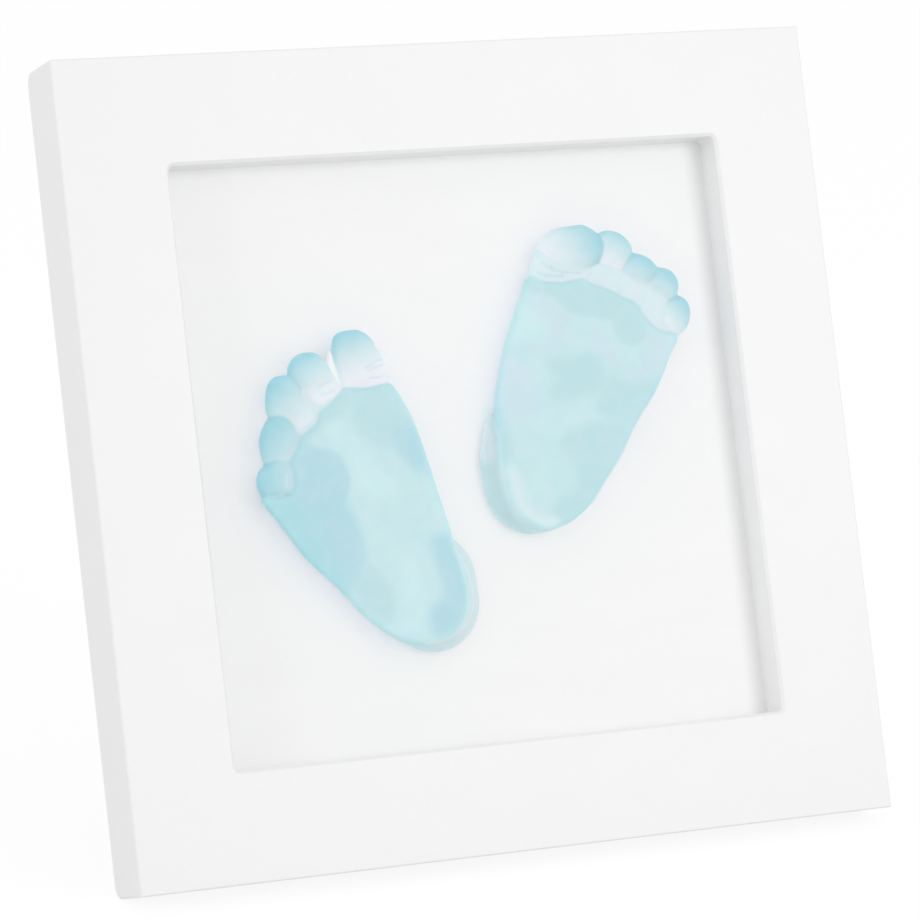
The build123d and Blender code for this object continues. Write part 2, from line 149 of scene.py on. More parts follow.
# Painted shade: deeper turquoise along a toe's rounded edge towards its tip
TOE_EDGE_SHADE_STRENGTH = 0.45
TOE_EDGE_SHADE_WIDTH = 1.8
TOE_EDGE_SHADE_SHARE = (0.3, 0.7)
# Strength of the painted shade in the creases
CREASE_SHADE_STRENGTH = 0.3
# Strength of the milky lines: pale folds of the resin and painted highlights
PALE_LINE_AND_HIGHLIGHT_STRENGTH = 0.5
# Where the painted light on the hidden walls begins, below the top and away from the skirt
WALL_FADE = (LEAN_TOP + 0.4, LEAN_TOP - 0.8)
WALL_OFF_SKIRT = (0.5, 1.5)
# How far from a second toe the painted light in the gaps reaches
PAINTED_GAP_LIGHT_FADE = (3.0, 1.0)

RIGHT_FOOT = Foot(
    name="right_foot",
    outline=[
        (-57.0, -9.0), (-54.4, -13.1), (-52.1, -16.7), (-47.2, -24.0), (-40.6, -31.1), (-33.7, -39.3),
        (-26.4, -45.3), (-19.5, -47.2), (-13.0, -45.7), (-8.9, -41.6), (-7.6, -35.5), (-8.7, -28.3),
        (-9.8, -20.3), (-11.7, -11.6), (-14.0, -1.4), (-16.6, 8.0), (-19.8, 14.9), (-21.6, 16.6),
        (-28.0, 15.9), (-33.4, 16.0), (-38.0, 12.6), (-40.4, 11.0), (-41.5, 8.5), (-45.0, 5.9),
        (-46.1, 4.8), (-47.0, 2.6), (-48.4, 0.9), (-49.4, -0.8), (-48.6, -2.3), (-48.4, -4.3),
        (-48.6, -6.1), (-49.6, -7.7), (-51.1, -8.6), (-54.0, -9.0),
    ],
    heel_skirt=[Spot(-15.1, -36.9, 12.5), Spot(-15.1, -32.0, 12.3)],
    skirt_tint=(214, 231, 234),
    skirt_patches=[],
    toes=[
        Toe((-28.0, 17.5), (-31.5, 30.5), 1.2, [
            (-29.6, 30.2), (-27.4, 29.9), (-25.1, 28.2), (-23.8, 25.7), (-22.3, 23.6), (-21.4, 21.3),
            (-21.1, 18.2), (-23.1, 15.9), (-28.8, 15.6), (-32.8, 16.5), (-33.7, 19.9), (-34.5, 25.0),
            (-34.0, 28.3), (-32.7, 29.8),
        ]),
        Toe((-37.5, 13.5), (-43.0, 25.5), 1.2, [
            (-42.0, 25.5), (-39.7, 25.2), (-37.9, 23.4), (-36.5, 20.6), (-35.1, 18.1), (-34.0, 15.4),
            (-36.6, 12.6), (-39.8, 11.2), (-42.6, 13.2), (-44.1, 16.5), (-46.4, 20.5), (-46.0, 23.2),
            (-44.2, 25.0),
        ]),
        Toe((-43.5, 8.0), (-50.5, 20.5), 0.9, [
            (-49.6, 20.3), (-47.2, 20.1), (-45.0, 18.0), (-43.6, 14.0), (-40.9, 11.2), (-41.2, 8.9),
            (-43.4, 6.8), (-46.0, 5.7), (-50.0, 9.0), (-52.8, 11.3), (-53.1, 14.6), (-52.2, 18.2),
            (-51.0, 19.8),
        ]),
        Toe((-48.0, 1.5), (-54.0, 9.5), 0.5, [
            (-50.6, 11.1), (-48.6, 10.2), (-46.9, 7.9), (-46.2, 5.0), (-47.2, 2.4), (-49.4, -0.6),
            (-54.8, -0.1), (-55.8, 3.0), (-55.5, 6.3), (-53.9, 9.3), (-52.2, 10.8),
        ]),
        Toe((-48.2, -4.5), (-57.5, -2.0), 0.45, [
            (-52.4, 0.6), (-49.8, -0.5), (-48.2, -2.6), (-48.2, -5.7), (-49.9, -7.9), (-54.3, -8.2),
            (-56.4, -8.1), (-57.6, -5.4), (-57.2, -2.8), (-55.2, -0.8),
        ]),
    ],
    necks=[
        Neck(NECK_RISE, NECK_TINT, [
            (-36.0, 14.5), (-38.5, 19.0), (-43.5, 17.5), (-46.5, 18.0), (-50.0, 12.5), (-53.0, 9.5),
            (-52.0, 4.5), (-53.5, 0.5), (-53.0, -4.0), (-50.5, -5.0), (-50.6, 0.2), (-48.6, 3.0),
            (-46.6, 5.6), (-43.5, 6.6), (-40.0, 9.0),
        ]),
        # A low web between the first two toes, painted near white: painted light where the gap would be in
        # shade
        Neck(WEB_RISE, PAINTED_GAP_LIGHT_TINT, [
            (-32.6, 16.6), (-33.5, 19.4), (-34.2, 21.8), (-34.8, 24.2), (-35.6, 26.4), (-36.8, 23.0),
            (-36.2, 19.2), (-35.0, 16.4), (-33.8, 15.2),
        ]),
        Neck(SEAM_RISE, BLUE_TINT, [
            (-49.6, -1.8), (-47.4, -2.2), (-47.0, -6.0), (-48.4, -8.0), (-50.2, -7.6), (-49.5, -4.5),
        ]),
    ],
    swells=[
        Swell(-27.0, 4.0, 11.0, 0.5), Swell(-43.0, -6.0, 8.0, 0.4),
        Swell(-17.0, -37.0, 9.0, 0.4), Swell(-23.0, -19.0, 10.0, -0.6),
    ],
    creases=[
        [(-27.4, 21.0), (-25.6, 21.8), (-24.2, 22.6), (-22.8, 22.9)],
        [(-27.0, 20.4), (-24.6, 20.9), (-22.4, 21.6)],
        [(-26.6, 18.4), (-24.4, 18.4), (-22.6, 18.9)],
        [(-40.2, 17.2), (-38.6, 17.8), (-36.8, 18.6)],
        [(-39.8, 15.2), (-38.0, 15.5), (-36.0, 16.2)],
    ],
    # Milky lines: a pale fold at the little toe's base, then painted highlights on the little toe and along
    # the heel's rim
    light_lines=[
        [(-56.2, -8.2), (-54.4, -8.4), (-52.2, -8.2)],
        [(-51.0, -3.4), (-51.2, -6.4)],
        [(-7.6, -26.5), (-6.2, -31.5), (-5.2, -36.4), (-5.6, -39.3), (-7.7, -42.9), (-10.3, -45.2)],
        [(-10.3, -45.2), (-13.8, -46.8), (-19.8, -47.3)],
    ],
    patches=[
        Patch(DEEP_TINT, SOFT, [
            (-50.0, -2.0), (-40.0, -5.0), (-36.0, -12.0), (-33.0, -20.0), (-33.5, -29.0), (-42.0, -34.0),
            (-53.0, -22.0), (-61.0, -10.0),
        ]),
        Patch(BLUE_TINT, CRISP, [
            (-46.6, 4.6), (-42.5, 2.7), (-39.6, 2.0), (-37.4, 0.6), (-35.8, -1.5), (-34.8, -5.0),
            (-35.4, -9.0), (-39.0, -13.0), (-46.0, -12.0), (-52.0, -8.0), (-55.0, 0.0),
        ]),
        Patch(TEAL_TINT, SOFT, [
            (-40.5, 11.5), (-33.0, 16.5), (-22.0, 17.5), (-20.0, 14.0), (-26.0, 13.2), (-32.0, 12.4),
            (-36.0, 9.8), (-40.0, 7.4), (-44.0, 4.0), (-47.0, 3.0), (-46.0, 6.5),
        ]),
        Patch(TEAL_TINT, SOFT, [
            (-32.0, 11.0), (-27.0, 13.5), (-20.0, 13.0), (-17.5, 6.0), (-21.0, 1.0), (-27.0, 2.0),
            (-31.0, 5.5),
        ]),
        Patch(BLUE_TINT, CRISP, [
            (-43.3, -15.6), (-38.0, -12.5), (-33.5, -22.1), (-33.7, -27.7), (-37.7, -31.0), (-43.5, -21.3),
        ]),
        Patch(BLUE_TINT, SOFT, [(-22.0, 5.0), (-15.6, 6.5), (-13.4, -5.5), (-17.6, -5.0), (-21.0, -1.0)]),
        Patch(BLUE_TINT, SOFT, [
            (-15.5, -22.0), (-10.5, -21.5), (-8.0, -29.0), (-7.4, -37.0), (-11.0, -43.5), (-17.0, -45.5),
            (-18.0, -40.0), (-14.0, -36.0), (-14.5, -29.0),
        ]),
        Patch(TEAL_TINT, SOFT, [
            (-33.0, -27.0), (-28.0, -31.0), (-26.5, -37.0), (-29.5, -41.0), (-37.0, -34.0),
        ]),
        Patch(PALE_TINT, SOFT, [
            (-23.5, -27.0), (-20.0, -28.0), (-19.0, -37.0), (-20.5, -44.0), (-25.0, -43.0), (-25.0, -34.0),
        ]),
        Patch(PALE_TINT, SOFT, [
            (-39.5, 6.5), (-36.0, 8.5), (-32.5, 4.0), (-29.0, -1.0), (-24.0, -5.0), (-22.5, -10.0),
            (-28.0, -11.0), (-33.0, -6.0), (-35.0, 0.0), (-38.0, 3.0),
        ]),
    ],
)

LEFT_FOOT = Foot(
    name="left_foot",
    outline=[
        (19.3, 40.6), (16.3, 35.2), (13.6, 29.6), (11.3, 25.0), (8.9, 18.1), (6.9, 11.8), (6.2, 5.6),
        (6.2, -1.0), (6.0, -7.0), (6.9, -13.6), (8.8, -17.6), (13.0, -21.2), (16.5, -22.2), (20.0, -21.4),
        (23.4, -20.2), (28.8, -16.4), (33.3, -11.2), (38.5, -5.0), (43.2, 2.1), (49.8, 10.2), (54.6, 18.4),
        (57.4, 23.2), (53.0, 24.6), (50.4, 26.8), (48.0, 30.2), (46.6, 32.4), (43.4, 33.8), (40.5, 35.8),
        (36.0, 37.5), (32.7, 39.2), (28.2, 38.5), (22.4, 39.2),
    ],
    heel_skirt=[Spot(14.7, -10.7, 12.1), Spot(13.6, -4.2, 11.7), Spot(12.6, 0.2, 9.6)],
    skirt_tint=(203, 228, 231),
    skirt_patches=[
        Patch(LIGHT_SKIRT_TINT, SOFT, [
            (7.0, 9.0), (2.0, 8.0), (0.0, -1.0), (0.5, -3.5), (4.5, -3.5), (5.5, 0.0),
        ]),
    ],
    toes=[
        Toe((26.5, 43.5), (38.5, 50.5), 0.9, [
            (35.2, 52.4), (38.0, 50.8), (40.0, 48.5), (40.0, 46.0), (38.0, 43.4), (34.6, 41.8), (30.6, 41.7),
            (26.8, 43.3), (23.4, 45.6), (23.2, 48.0), (25.6, 50.6), (28.6, 52.0), (32.4, 52.3),
        ]),
        Toe((41.0, 42.0), (46.0, 50.0), 1.0, [
            (40.4, 50.3), (42.1, 50.6), (44.6, 49.9), (46.7, 48.1), (47.7, 45.8), (46.6, 43.7), (43.9, 40.7),
            (39.9, 41.6), (38.0, 43.6), (38.2, 46.8), (39.0, 49.2),
        ]),
        Toe((46.5, 36.8), (51.0, 43.6), 0.75, [
            (47.6, 44.2), (49.4, 44.3), (52.0, 43.1), (53.8, 41.1), (54.0, 39.8), (51.5, 36.9), (50.2, 35.9),
            (48.2, 36.8), (46.0, 38.7), (44.4, 40.2), (46.0, 42.8),
        ]),
        Toe((52.8, 33.4), (57.8, 39.4), 0.7, [
            (54.3, 40.1), (56.0, 40.3), (58.2, 39.1), (59.3, 36.8), (59.0, 34.4), (57.2, 32.8), (54.8, 32.7),
            (53.0, 34.6), (51.0, 36.0), (52.0, 38.2),
        ]),
        Toe((54.5, 26.0), (61.2, 31.0), 0.95, [
            (58.5, 32.9), (60.2, 32.6), (61.5, 30.9), (61.5, 28.0), (60.3, 25.5), (58.0, 23.8), (55.6, 23.6),
            (52.8, 26.3), (53.6, 29.4), (56.0, 32.0),
        ]),
    ],
    necks=[
        Neck(NECK_RISE, NECK_TINT, [
            (22.4, 47.3), (26.0, 45.0), (30.0, 43.0), (35.0, 42.5), (37.5, 41.5), (35.5, 38.6), (32.0, 38.6),
            (27.5, 37.9), (22.0, 38.4), (18.6, 39.6), (19.8, 42.9), (20.8, 45.4),
        ]),
        Neck(NECK_RISE, NECK_TINT, [
            (36.0, 42.6), (40.0, 43.0), (44.4, 41.2), (43.8, 37.0), (42.8, 34.6), (38.5, 35.6), (33.5, 38.6),
        ]),
        Neck(NECK_RISE, NECK_TINT, [
            (43.6, 40.6), (47.0, 39.0), (51.0, 37.0), (51.0, 33.0), (48.5, 31.0), (45.0, 32.6), (42.4, 35.0),
        ]),
        Neck(NECK_RISE, NECK_TINT, [
            (50.0, 37.0), (53.0, 36.0), (56.0, 33.5), (57.0, 28.0), (56.0, 23.4), (51.5, 25.4), (48.0, 30.2),
        ]),
    ],
    swells=[
        Swell(27.0, 29.0, 11.0, 0.5), Swell(48.0, 19.0, 9.0, 0.4),
        Swell(17.0, -8.0, 9.0, 0.4), Swell(23.0, 10.0, 10.0, -0.6),
    ],
    creases=[
        [(21.4, 41.7), (22.8, 40.9), (24.8, 40.6), (28.0, 40.4)],
        [(22.6, 44.2), (25.2, 42.2), (28.6, 41.0)],
        [(25.2, 42.9), (27.2, 41.8), (29.6, 41.1), (33.0, 40.8)],
    ],
    # Milky lines: pale folds under the toes and a crescent, then a painted highlight along the heel's rim
    light_lines=[
        [(45.6, 39.2), (48.2, 36.6), (50.2, 35.5)],
        [(20.6, 41.2), (23.0, 39.6), (27.0, 39.0), (31.0, 39.4), (34.0, 40.2)],
        [(22.0, 44.6), (25.0, 42.6), (28.4, 41.6)],
        [(5.2, 6.9), (4.3, 4.6), (3.4, 2.0), (2.8, -0.7), (2.7, -4.1)],
    ],
    patches=[
        Patch(TEAL_TINT, CRISP, [
            (22.0, 39.5), (30.0, 39.5), (36.0, 38.0), (40.5, 36.5), (43.5, 34.5), (47.5, 32.5), (48.5, 29.0),
            (50.5, 26.0), (48.0, 23.0), (44.0, 21.5), (40.5, 24.0), (39.5, 28.0), (36.0, 29.0), (30.0, 30.5),
            (27.0, 32.0), (24.0, 35.0), (18.5, 36.5), (18.0, 40.0),
        ]),
        Patch(LAVENDER_TINT, SOFT, [
            (17.5, 35.5), (21.5, 36.0), (23.5, 33.0), (27.0, 31.5), (28.0, 28.0), (27.5, 24.5), (24.0, 22.0),
            (17.0, 22.5), (12.5, 23.5), (14.0, 26.0), (17.0, 30.0),
        ]),
        Patch(PALE_TINT, SOFT, [
            (14.0, 35.0), (18.0, 33.5), (21.5, 30.0), (22.0, 26.5), (20.0, 24.0), (13.5, 25.0), (11.5, 29.0),
        ]),
        Patch(LAVENDER_TINT, CRISP, [
            (34.4, 27.2), (37.6, 24.3), (40.8, 17.5), (38.7, 16.7), (36.0, 19.2), (33.9, 22.6),
        ]),
        Patch(LAVENDER_TINT, SOFT, [
            (50.5, 26.5), (53.0, 24.5), (56.0, 22.0), (54.5, 18.0), (51.0, 14.0), (46.0, 12.5), (41.5, 13.0),
            (42.5, 15.5), (47.0, 18.0), (48.5, 22.0),
        ]),
        Patch(LAVENDER_TINT, SOFT, [
            (9.0, 22.0), (12.0, 22.0), (14.5, 19.0), (17.0, 17.0), (18.0, 12.0), (17.0, 6.5), (13.0, 5.0),
            (8.0, 5.0), (4.5, 13.0), (6.5, 19.0),
        ]),
        Patch(TEAL_TINT, SOFT, [
            (21.0, 19.0), (27.0, 20.0), (33.0, 20.5), (35.5, 17.5), (36.0, 13.0), (33.0, 10.5), (28.0, 10.0),
            (22.5, 9.5), (20.5, 12.0), (22.5, 15.0),
        ]),
        Patch(TEAL_TINT, SOFT, [
            (38.0, 14.5), (44.0, 12.0), (51.0, 12.5), (46.0, 4.5), (42.0, 0.0), (38.0, 4.0), (33.0, 6.0),
            (34.0, 10.0),
        ]),
        Patch(TEAL_TINT, SOFT, [
            (30.0, 3.0), (37.0, 3.0), (42.5, 0.0), (38.0, -6.5), (34.0, -11.5), (28.0, -18.0), (22.0, -21.5),
            (17.5, -19.0), (19.0, -16.0), (24.0, -13.0), (25.5, -9.0), (22.0, -3.0), (24.0, 1.0),
        ]),
        Patch(TEAL_TINT, SOFT, [(4.0, 9.0), (7.5, 8.5), (9.0, 3.0), (9.0, -3.0), (5.0, -5.0), (4.0, 0.0)]),
        Patch(NECK_TINT, SOFT, [
            (6.6, -7.8), (8.8, -7.0), (10.2, -10.0), (10.8, -14.5), (13.3, -17.9), (18.6, -19.8),
            (18.0, -22.2), (12.4, -20.9), (8.5, -16.7),
        ]),
    ],
)


def closed_curve(points):
    """Points along a smooth closed curve through the given points."""
    knots = np.array(points, float)
    before, after, beyond = (np.roll(knots, shift, axis=0) for shift in (1, -1, -2))
    share = (np.arange(CURVE_STEPS) / CURVE_STEPS)[None, :, None]
    knots, before, after, beyond = (side[:, None, :] for side in (knots, before, after, beyond))
    bend = (
        2 * knots
        + (after - before) * share
        + (2 * before - 5 * knots + 4 * after - beyond) * share**2
        + (3 * knots - before - 3 * after + beyond) * share**3
    )
    return (bend / 2).reshape(-1, 2)


def run_distance(start, end, x, z):
    """Distance to a straight run between two points, and how far along it the nearest point lies."""
    across, along = end[0] - start[0], end[1] - start[1]
    share = ((x - start[0]) * across + (z - start[1]) * along) / max(across**2 + along**2, TINY)
    share = np.clip(share, 0, 1)
    return np.hypot(x - start[0] - share * across, z - start[1] - share * along), share


def outline_distance(points, x, z):
    """Distance to a closed outline, negative inside it."""
    curve = closed_curve(points)
    nearest = np.full(x.shape, np.inf)
    inside = np.zeros(x.shape, bool)
    for start, end in zip(curve, np.roll(curve, -1, axis=0)):
        nearest = np.minimum(nearest, run_distance(start, end, x, z)[0])
        slope = (end[0] - start[0]) / (end[1] - start[1] + TINY)
        inside ^= ((start[1] > z) != (end[1] > z)) & (x < start[0] + (z - start[1]) * slope)
    return np.where(inside, -nearest, nearest)


def smooth_step(low, high, value):
    """0 up to the low value, 1 from the high one, and a smooth rise between them."""
    share = np.clip((value - low) / (high - low), 0, 1)
    return share * share * (3 - 2 * share)


def swell_rise(swells, x, z):
    """Rise of the sole's soft round swells and hollows."""
    return sum(s.rise * np.exp(-((x - s.x) ** 2 + (z - s.z) ** 2) / s.radius**2) for s in swells)


def tapered_run(start, end, x, z):
    """Distance to the outline of a run that is round at each of two spots, with their own radius."""
    away, share = run_distance((start.x, start.z), (end.x, end.z), x, z)
    return away - start.radius - share * (end.radius - start.radius)


def rounded_meet(side, top, radius):
    """Distance to the shape inside both surfaces, with a rounded edge where they meet."""
    side, top = side + radius, top + radius
    outside = np.hypot(np.maximum(side, 0), np.maximum(top, 0))
    return outside + np.minimum(np.maximum(side, top), 0) - radius


def soft_union(first, second, blend):
    """The nearer of two surfaces, blended where they meet."""
    share = np.clip(0.5 + 0.5 * (second - first) / blend, 0, 1)
    return second + (first - second) * share - blend * share * (1 - share)


def leaned_in(edge, rise):
    """Distance to a wall on an outline that leans in under the cast."""
    return edge + LEAN_IN * np.maximum(LEAN_TOP - rise, 0)


def toe_share(toe, x, z):
    """How far a place lies from a toe's root, 0, to its tip, 1."""
    across, along = toe.tip[0] - toe.root[0], toe.tip[1] - toe.root[1]
    share = ((x - toe.root[0]) * across + (z - toe.root[1]) * along) / (across**2 + along**2)
    return np.clip(share, 0, 1)


def toe_distance(toe, edge, x, z, rise):
    """Distance to a toe: its top climbs to the tip and falls off towards its edge."""
    crown = TOE_CROWN * (1 - smooth_step(0, TOE_CROWN_WIDTH, -edge))
    top = TOE_ROOT_RISE + (TOE_TIP_RISE - TOE_ROOT_RISE) * toe_share(toe, x, z) - crown
    return rounded_meet(leaned_in(edge, rise), rise - top, TOE_ROUND)


def skirt_distance(foot, x, z, rise):
    """Distance to the sloping skirt round the heel."""
    spots = foot.heel_skirt
    edge = np.min([tapered_run(*pair, x, z) for pair in zip(spots, spots[1:])], axis=0)
    return edge + SKIRT_LEAN * np.maximum(rise - SKIRT_LOW, 0)


def sole_distance(foot, edge, x, z, rise):
    """Distance to the sole: a wall that leans in, a skirt round the heel and a softly swelling top."""
    skirt = skirt_distance(foot, x, z, rise)
    top = rise - SOLE_RISE - swell_rise(foot.swells, x, z)
    return rounded_meet(soft_union(leaned_in(edge, rise), skirt, SKIRT_BLEND), top, SOLE_EDGE_ROUND)


def near_lines(lines, x, z):
    """1 on the nearest of some fine lines, falling off to each side."""
    nearest = np.full(x.shape, np.inf)
    for line in lines:
        for start, end in zip(line, line[1:]):
            nearest = np.minimum(nearest, run_distance(start, end, x, z)[0])
    return np.exp(-((nearest / CREASE_WIDTH) ** 2))


class CastField:
    """The distance field of one cast, with its outlines sampled once on a fine grid."""

    def __init__(self, foot):
        self.foot = foot
        outlines = [foot.outline] + [part.outline for part in foot.toes + foot.necks]
        skirt_ends = [
            (spot.x + side * spot.radius, spot.z + side * spot.radius)
            for spot in foot.heel_skirt
            for side in (-1, 1)
        ]
        places = np.array(sum(outlines, skirt_ends))
        margin = 2 * CAST_STEP
        self.low = np.append(places.min(0) - margin, -margin)
        high = np.append(places.max(0) + margin, TOE_TIP_RISE + margin)
        self.counts = np.ceil((high - self.low) / CAST_STEP).astype(int) + 1
        x, z = np.meshgrid(*(self.axis(i) for i in (0, 1)), indexing="ij")
        grow = [SOLE_GROW] + [TOE_GROW] * len(foot.toes) + [0.0] * len(foot.necks)
        self.edges = [outline_distance(outline, x, z) - more for outline, more in zip(outlines, grow)]

    def axis(self, index):
        """The grid's places along one axis."""
        return self.low[index] + CAST_STEP * np.arange(self.counts[index])

    def edges_at(self, x, z):
        """The distances to sole, toes and necks at any place, read between the grid's points."""
        across = np.clip((x - self.low[0]) / CAST_STEP, 0, self.counts[0] - INSIDE_GRID)
        along = np.clip((z - self.low[1]) / CAST_STEP, 0, self.counts[1] - INSIDE_GRID)
        i, k = across.astype(int), along.astype(int)
        s, t = across - i, along - k
        for edge in self.edges:
            near = edge[i, k] * (1 - s) + edge[i + 1, k] * s
            far = edge[i, k + 1] * (1 - s) + edge[i + 1, k + 1] * s
            yield near * (1 - t) + far * t

    def parts(self, x, z, rise):
        """Distances to the sole, to each toe and to each neck."""
        sole_edge, *rest = self.edges_at(x, z)
        layers = [sole_distance(self.foot, sole_edge, x, z, rise)]
        for toe, edge in zip(self.foot.toes, rest):
            layers.append(toe_distance(toe, edge, x, z, rise))
        for neck, edge in zip(self.foot.necks, rest[len(self.foot.toes):]):
            layers.append(rounded_meet(leaned_in(edge, rise), rise - neck.rise, TOE_ROUND))
        return np.stack(layers)

    def __call__(self, points):
        """Distance to the whole cast, negative inside it."""
        x, z, rise = points.T
        body, *rest = self.parts(x, z, rise)
        for part in rest:
            body = soft_union(body, part, TOE_BLEND)
        return np.maximum(body + CREASE_DEPTH * near_lines(self.foot.creases, x, z), -rise)


CELL_CORNERS = [(i, j, k) for i in (0, 1) for j in (0, 1) for k in (0, 1)]
CELL_EDGES = [
    (start, end)
    for start in CELL_CORNERS
    for end in CELL_CORNERS
    if sum(end) - sum(start) == 1 == np.abs(np.subtract(end, start)).sum()
]


def skin_over(values, low, step):
    """Vertices and quads where sampled values change sign, with one vertex in each crossed cell."""
    cells = np.array(values.shape) - 1
    part = {}
    for corner in CELL_CORNERS:
        part[corner] = values[tuple(slice(first, first + count) for first, count in zip(corner, cells))]
    inside = sum((part[corner] < 0).astype(int) for corner in CELL_CORNERS)
    crossed = np.argwhere((inside > 0) & (inside < len(CELL_CORNERS)))
    number = np.full(cells, -1)
    number[tuple(crossed.T)] = np.arange(len(crossed))
    total, hits = np.zeros((len(crossed), 3)), np.zeros((len(crossed), 1))
    for a, b in CELL_EDGES:
        start, end = part[a][tuple(crossed.T)], part[b][tuple(crossed.T)]
        hit = ((start < 0) != (end < 0))[:, None]
        share = (start / np.where(start == end, 1, start - end))[:, None]
        total += np.where(hit, np.array(a) + share * np.subtract(b, a), 0)
        hits += hit
    vertices = low + step * (crossed + total / hits)
    quads = []
    for axis in range(3):
        one, two = (axis + 1) % 3, (axis + 2) % 3
        start = values.take(range(cells[axis]), axis) < 0
        end = values.take(range(1, cells[axis] + 1), axis) < 0
        for flip, change in ((False, start & ~end), (True, end & ~start)):
            at = np.argwhere(change)
            off_rim = [(at[:, side] > 0) & (at[:, side] < cells[side]) for side in (one, two)]
            at = at[off_rim[0] & off_rim[1]]
            ring = []
            for back_one, back_two in ((1, 1), (0, 1), (0, 0), (1, 0)):
                cell = at.copy()
                cell[:, one] -= back_one
                cell[:, two] -= back_two
                ring.append(number[tuple(cell.T)])
            quads.append(np.stack(ring[::-1] if flip else ring, axis=1))
    return vertices, np.concatenate(quads)


def settle(field, points, quads, rounds=3):
    """Moves points on to the surface of a field, then evens them out a little."""
    for _ in range(rounds):
        level = field(points)
        slopes = [(field(points + PROBE_STEP * axis) - level) / PROBE_STEP for axis in np.eye(3)]
        slope = np.stack(slopes, axis=1)
        steepness = np.maximum((slope**2).sum(1), LEAST_SLOPE)
        move = np.clip(level / steepness, -LONGEST_MOVE, LONGEST_MOVE)
        points = points - slope * move[:, None]
    return evened(points, quads)


def evened(points, quads, rounds=3, share=0.5):
    """Moves each point part of the way to the middle of its neighbours."""
    for _ in range(rounds):
        total, hits = np.zeros_like(points), np.zeros(len(points))
        for corner in range(4):
            for step in (1, 3):
                np.add.at(total, quads[:, corner], points[quads[:, (corner + step) % 4]])
                np.add.at(hits, quads[:, corner], 1)
        points = points + share * (total / hits[:, None] - points)
    return points


def linear(tint):
    """A tint in screen levels as a row of linear light."""
    return np.array(from_srgb(*tint)[:3])


def even_coat(tint, count):
    """The same colour for a number of places."""
    return np.tile(linear(tint), (count, 1))


def washed(colours, share, tint):
    """Colours mixed with a tint, each by its own share."""
    return colours + share[:, None] * (tint - colours)


def patched(colours, patches, x, z):
    """Colours with cloudy patches washed over them, one after another."""
    for patch in patches:
        edge = outline_distance(patch.outline, x, z)
        colours = washed(colours, smooth_step(patch.blur, -patch.blur, edge), linear(patch.tint))
    return colours


def sole_colours(foot, sole_edge, off_skirt, x, z):
    """Cloudy patches, a deeper edge that is partly painted shade, the heel's skirt and a painted highlight
    along the rim above it.
    """
    colours = patched(even_coat(SOLE_TINT, len(x)), foot.patches, x, z)
    # Deeper band along the sole's edge, partly painted shade on the rounded edge
    deep_edge_and_shade = np.exp(-(((sole_edge + DEEP_EDGE_AND_SHADE_INSET) / DEEP_EDGE_AND_SHADE_WIDTH) ** 2))
    colours = washed(colours, DEEP_EDGE_AND_SHADE_STRENGTH * deep_edge_and_shade, linear(DEEP_TINT))
    skirt = patched(even_coat(foot.skirt_tint, len(x)), foot.skirt_patches, x, z)
    colours = washed(colours, smooth_step(*SKIRT_FADE, sole_edge), skirt)
    # Painted highlight along the heel's rim above the skirt
    rim = np.exp(-((sole_edge / HEEL_HIGHLIGHT_WIDTH) ** 2)) * smooth_step(*HEEL_HIGHLIGHT_FADE, off_skirt)
    return washed(colours, HEEL_HIGHLIGHT_STRENGTH * rim, linear(MILKY_TINT))


def toe_colours(toe, edge, x, z):
    """White at a toe's root and turquoise at its tip, with painted shade deepening the turquoise along the
    rounded edge near the tip.
    """
    along = toe_share(toe, x, z)
    depth = 1 - toe.whiteness * (1 - along)
    # Painted shade of the toe's rounded edge near its tip
    toe_edge_shade = smooth_step(-TOE_EDGE_SHADE_WIDTH, 0.0, edge) * smooth_step(*TOE_EDGE_SHADE_SHARE, along)
    depth = depth + TOE_EDGE_SHADE_STRENGTH * toe_edge_shade * (1 - depth)
    steps = [step for step, _ in TOE_TINTS]
    tints = np.array([linear(tint) for _, tint in TOE_TINTS])
    return np.stack([np.interp(depth, steps, channel) for channel in tints.T], axis=1)


def painted_wall_light(toe_edges):
    """Painted light on the hidden walls: pale lavender, whose bounce tints the card's shade as light through
    the resin would, and white where two toes face each other, to lighten the shade in the gap.
    """
    second_nearest = np.sort(toe_edges, axis=0)[1]
    walls = even_coat(PAINTED_BOUNCE_TINT, len(second_nearest))
    # Painted light where two toes face each other
    return washed(walls, smooth_step(*PAINTED_GAP_LIGHT_FADE, second_nearest), linear(PAINTED_GAP_LIGHT_TINT))


def resin_colours(foot, field, points):
    """A colour for every point of a cast: sole and skirt, then toes and necks, fine lines and walls, among
    them painted shade at edges and creases and painted light on highlights and walls.
    """
    x, z, rise = points.T
    layers = field.parts(x, z, rise)
    sole_edge, *edges = field.edges_at(x, z)
    off_skirt = skirt_distance(foot, x, z, rise)
    colours = sole_colours(foot, sole_edge, off_skirt, x, z)
    for index, (part, edge) in enumerate(zip(foot.toes + foot.necks, edges), 1):
        own = toe_colours(part, edge, x, z) if isinstance(part, Toe) else linear(part.tint)
        nearest_other = np.delete(layers, index, axis=0).min(0)
        seam = smooth_step(-SEAM_BLUR, SEAM_BLUR, nearest_other - layers[index])
        colours = washed(colours, seam, own)
    # Painted shade along the creases
    colours = washed(colours, CREASE_SHADE_STRENGTH * near_lines(foot.creases, x, z), linear(CREASE_SHADE_TINT))
    # Milky lines: pale folds and painted highlights
    colours = washed(colours, PALE_LINE_AND_HIGHLIGHT_STRENGTH * near_lines(foot.light_lines, x, z), linear(MILKY_TINT))
    # Painted light on the hidden walls below the top
    wall = smooth_step(*WALL_FADE, rise) * smooth_step(*WALL_OFF_SKIRT, off_skirt)
    return washed(colours, wall, painted_wall_light(edges[:len(foot.toes)]))


